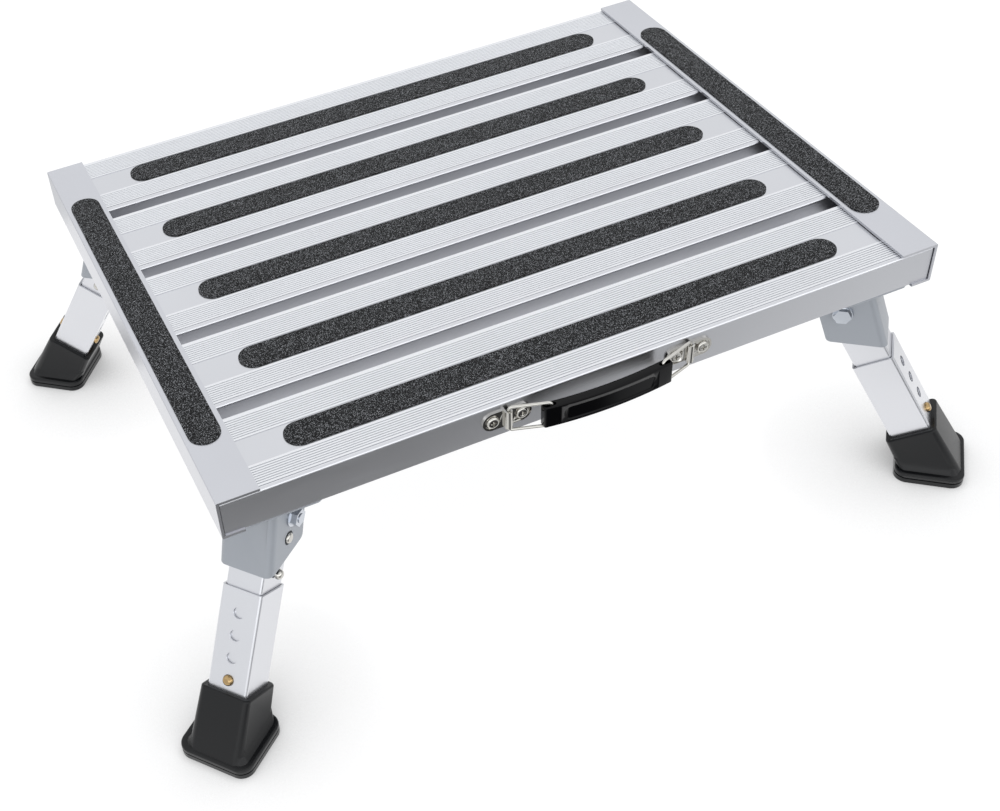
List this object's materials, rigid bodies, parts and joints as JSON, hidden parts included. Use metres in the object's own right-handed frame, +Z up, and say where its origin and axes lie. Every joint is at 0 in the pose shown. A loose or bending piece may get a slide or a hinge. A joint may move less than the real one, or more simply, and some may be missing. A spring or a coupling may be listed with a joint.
{
  "type": "caravan entry step",
  "caption": "Portable aluminium caravan entry step: slatted deck with grit tape, splayed fold-flat telescopic legs on rubber feet, and a pull-out carry handle.",
  "frame": {"origin": "on the floor, under the middle of the deck", "axes": "+X along the slats to the right, +Y away from the carry handle, +Z up"},
  "size_m": [0.5908, 0.4608, 0.1908],
  "materials": {
    "anodised_aluminium": "satin anodised, extrusion lines along the length",
    "rivet_aluminium": "bright",
    "grey_paint": "satin light grey",
    "grit_tape": "coarse mineral grit with fine sparkle",
    "zinc_steel": "zinc plated",
    "nylon": "matte",
    "black_rubber": "satin",
    "brass": "polished",
    "spring_steel": "blued strip",
    "nickel": "nickel plated",
    "black_gloss_plastic": "glossy"
  },
  "bodies": {
    "deck": {"end_channel_left": "anodised_aluminium", "end_channel_right": "anodised_aluminium", "slat_front": "anodised_aluminium", "slat_second": "anodised_aluminium", "slat_middle": "anodised_aluminium", "slat_fourth": "anodised_aluminium", "slat_rear": "anodised_aluminium", "slat_tapes": "grit_tape", "channel_tapes": "grit_tape", "frame_rivets": "rivet_aluminium", "bracket_front_left": "grey_paint", "bracket_front_right": "grey_paint", "bracket_rear_left": "grey_paint", "bracket_rear_right": "grey_paint", "pivot_bolts": "zinc_steel", "pivot_washers": "zinc_steel", "pivot_nuts": "zinc_steel", "pivot_spacers": "nylon", "handle_bridge_left": "nickel", "handle_bridge_right": "nickel", "handle_screws": "nickel"},
    "leg_front_left": {"upper_leg_front_left": "anodised_aluminium", "lock_spring_front_left": "spring_steel", "height_spring_front_left": "spring_steel"},
    "lock_front_left": {"lock_pin_front_left": "nickel", "release_button_front_left": "nickel"},
    "outer_button_front_left": {"height_button_outer_front_left": "brass"},
    "inner_button_front_left": {"height_button_inner_front_left": "brass"},
    "lower_front_left": {"lower_leg_front_left": "anodised_aluminium", "foot_front_left": "black_rubber"},
    "leg_front_right": {"upper_leg_front_right": "anodised_aluminium", "lock_spring_front_right": "spring_steel", "height_spring_front_right": "spring_steel"},
    "lock_front_right": {"lock_pin_front_right": "nickel", "release_button_front_right": "nickel"},
    "outer_button_front_right": {"height_button_outer_front_right": "brass"},
    "inner_button_front_right": {"height_button_inner_front_right": "brass"},
    "lower_front_right": {"lower_leg_front_right": "anodised_aluminium", "foot_front_right": "black_rubber"},
    "leg_rear_right": {"upper_leg_rear_right": "anodised_aluminium", "lock_spring_rear_right": "spring_steel", "height_spring_rear_right": "spring_steel"},
    "lock_rear_right": {"lock_pin_rear_right": "nickel", "release_button_rear_right": "nickel"},
    "outer_button_rear_right": {"height_button_outer_rear_right": "brass"},
    "inner_button_rear_right": {"height_button_inner_rear_right": "brass"},
    "lower_rear_right": {"lower_leg_rear_right": "anodised_aluminium", "foot_rear_right": "black_rubber"},
    "leg_rear_left": {"upper_leg_rear_left": "anodised_aluminium", "lock_spring_rear_left": "spring_steel", "height_spring_rear_left": "spring_steel"},
    "lock_rear_left": {"lock_pin_rear_left": "nickel", "release_button_rear_left": "nickel"},
    "outer_button_rear_left": {"height_button_outer_rear_left": "brass"},
    "inner_button_rear_left": {"height_button_inner_rear_left": "brass"},
    "lower_rear_left": {"lower_leg_rear_left": "anodised_aluminium", "foot_rear_left": "black_rubber"},
    "handle": {"handle_grip": "black_gloss_plastic"},
    "loop_left": {"handle_loop_left": "nickel"},
    "loop_right": {"handle_loop_right": "nickel"}
  },
  "joints": [
    {"name": "front_left_fold", "type": "hinge", "parent": "deck", "child": "leg_front_left", "pos_m": [-0.2053, -0.151, 0.1384], "axis": [0.6307, -0.776, 0], "range_deg": [0, 118], "deforming": ["lock_pin_front_left"]},
    {"name": "front_left_height", "type": "slide", "parent": "leg_front_left", "child": "lower_front_left", "axis": [0.388, 0.3153, 0.866], "range_m": [-0.045, 0], "deforming": ["height_button_outer_front_left", "height_button_inner_front_left"]},
    {"name": "front_left_lock_press", "type": "slide", "parent": "leg_front_left", "child": "lock_front_left", "axis": [-0.6307, 0.776, 0], "range_m": [0, 0.0044], "stiffness_N_per_m": 1200, "springref_m": -0.003, "deforming": ["lock_spring_front_left"]},
    {"name": "front_left_outer_button_press", "type": "slide", "parent": "leg_front_left", "child": "outer_button_front_left", "axis": [0.6721, 0.5462, -0.5], "range_m": [0, 0.0043], "stiffness_N_per_m": 1500, "springref_m": -0.003, "deforming": ["height_spring_front_left"]},
    {"name": "front_left_inner_button_press", "type": "slide", "parent": "leg_front_left", "child": "inner_button_front_left", "axis": [-0.6721, -0.5462, 0.5], "range_m": [0, 0.0043], "stiffness_N_per_m": 1500, "springref_m": -0.003, "deforming": ["height_spring_front_left"]},
    {"name": "front_right_fold", "type": "hinge", "parent": "deck", "child": "leg_front_right", "pos_m": [0.2053, -0.151, 0.1384], "axis": [0.6307, 0.776, 0], "range_deg": [0, 118], "deforming": ["lock_pin_front_right"]},
    {"name": "front_right_height", "type": "slide", "parent": "leg_front_right", "child": "lower_front_right", "axis": [-0.388, 0.3153, 0.866], "range_m": [-0.045, 0], "deforming": ["height_button_outer_front_right", "height_button_inner_front_right"]},
    {"name": "front_right_lock_press", "type": "slide", "parent": "leg_front_right", "child": "lock_front_right", "axis": [-0.6307, -0.776, 0], "range_m": [0, 0.0044], "stiffness_N_per_m": 1200, "springref_m": -0.003, "deforming": ["lock_spring_front_right"]},
    {"name": "front_right_outer_button_press", "type": "slide", "parent": "leg_front_right", "child": "outer_button_front_right", "axis": [-0.6721, 0.5462, -0.5], "range_m": [0, 0.0043], "stiffness_N_per_m": 1500, "springref_m": -0.003, "deforming": ["height_spring_front_right"]},
    {"name": "front_right_inner_button_press", "type": "slide", "parent": "leg_front_right", "child": "inner_button_front_right", "axis": [0.6721, -0.5462, 0.5], "range_m": [0, 0.0043], "stiffness_N_per_m": 1500, "springref_m": -0.003, "deforming": ["height_spring_front_right"]},
    {"name": "rear_right_fold", "type": "hinge", "parent": "deck", "child": "leg_rear_right", "pos_m": [0.2053, 0.151, 0.1384], "axis": [-0.6307, 0.776, 0], "range_deg": [0, 118], "deforming": ["lock_pin_rear_right"]},
    {"name": "rear_right_height", "type": "slide", "parent": "leg_rear_right", "child": "lower_rear_right", "axis": [-0.388, -0.3153, 0.866], "range_m": [-0.045, 0], "deforming": ["height_button_outer_rear_right", "height_button_inner_rear_right"]},
    {"name": "rear_right_lock_press", "type": "slide", "parent": "leg_rear_right", "child": "lock_rear_right", "axis": [0.6307, -0.776, 0], "range_m": [0, 0.0044], "stiffness_N_per_m": 1200, "springref_m": -0.003, "deforming": ["lock_spring_rear_right"]},
    {"name": "rear_right_outer_button_press", "type": "slide", "parent": "leg_rear_right", "child": "outer_button_rear_right", "axis": [-0.6721, -0.5462, -0.5], "range_m": [0, 0.0043], "stiffness_N_per_m": 1500, "springref_m": -0.003, "deforming": ["height_spring_rear_right"]},
    {"name": "rear_right_inner_button_press", "type": "slide", "parent": "leg_rear_right", "child": "inner_button_rear_right", "axis": [0.6721, 0.5462, 0.5], "range_m": [0, 0.0043], "stiffness_N_per_m": 1500, "springref_m": -0.003, "deforming": ["height_spring_rear_right"]},
    {"name": "rear_left_fold", "type": "hinge", "parent": "deck", "child": "leg_rear_left", "pos_m": [-0.2053, 0.151, 0.1384], "axis": [-0.6307, -0.776, 0], "range_deg": [0, 118], "deforming": ["lock_pin_rear_left"]},
    {"name": "rear_left_height", "type": "slide", "parent": "leg_rear_left", "child": "lower_rear_left", "axis": [0.388, -0.3153, 0.866], "range_m": [-0.045, 0], "deforming": ["height_button_outer_rear_left", "height_button_inner_rear_left"]},
    {"name": "rear_left_lock_press", "type": "slide", "parent": "leg_rear_left", "child": "lock_rear_left", "axis": [0.6307, 0.776, 0], "range_m": [0, 0.0044], "stiffness_N_per_m": 1200, "springref_m": -0.003, "deforming": ["lock_spring_rear_left"]},
    {"name": "rear_left_outer_button_press", "type": "slide", "parent": "leg_rear_left", "child": "outer_button_rear_left", "axis": [0.6721, -0.5462, -0.5], "range_m": [0, 0.0043], "stiffness_N_per_m": 1500, "springref_m": -0.003, "deforming": ["height_spring_rear_left"]},
    {"name": "rear_left_inner_button_press", "type": "slide", "parent": "leg_rear_left", "child": "inner_button_rear_left", "axis": [-0.6721, 0.5462, 0.5], "range_m": [0, 0.0043], "stiffness_N_per_m": 1500, "springref_m": -0.003, "deforming": ["height_spring_rear_left"]},
    {"name": "handle_pull", "type": "slide", "parent": "deck", "child": "handle", "axis": [0, -1, 0], "range_m": [-0.004, 0.0068]},
    {"name": "loop_right_turn", "type": "hinge", "parent": "deck", "child": "loop_right", "pos_m": [0.0615, -0.1866, 0.176], "axis": [0, 0, 1], "range_deg": [-9.8, 16.6]},
    {"name": "loop_left_turn", "type": "hinge", "parent": "deck", "child": "loop_left", "pos_m": [-0.0615, -0.1866, 0.176], "axis": [0, 0, 1], "range_deg": [-16.6, 9.8]}
  ],
  "couplings": [
    {"joint": "front_left_inner_button_press", "follows": "front_left_outer_button_press", "ratio": 1},
    {"joint": "front_right_inner_button_press", "follows": "front_right_outer_button_press", "ratio": 1},
    {"joint": "rear_right_inner_button_press", "follows": "rear_right_outer_button_press", "ratio": 1},
    {"joint": "rear_left_inner_button_press", "follows": "rear_left_outer_button_press", "ratio": 1},
    {"joint": "loop_right_turn", "follows": "handle_pull", "rad_per_m": 42.4},
    {"joint": "loop_left_turn", "follows": "handle_pull", "rad_per_m": -42.4}
  ]
}
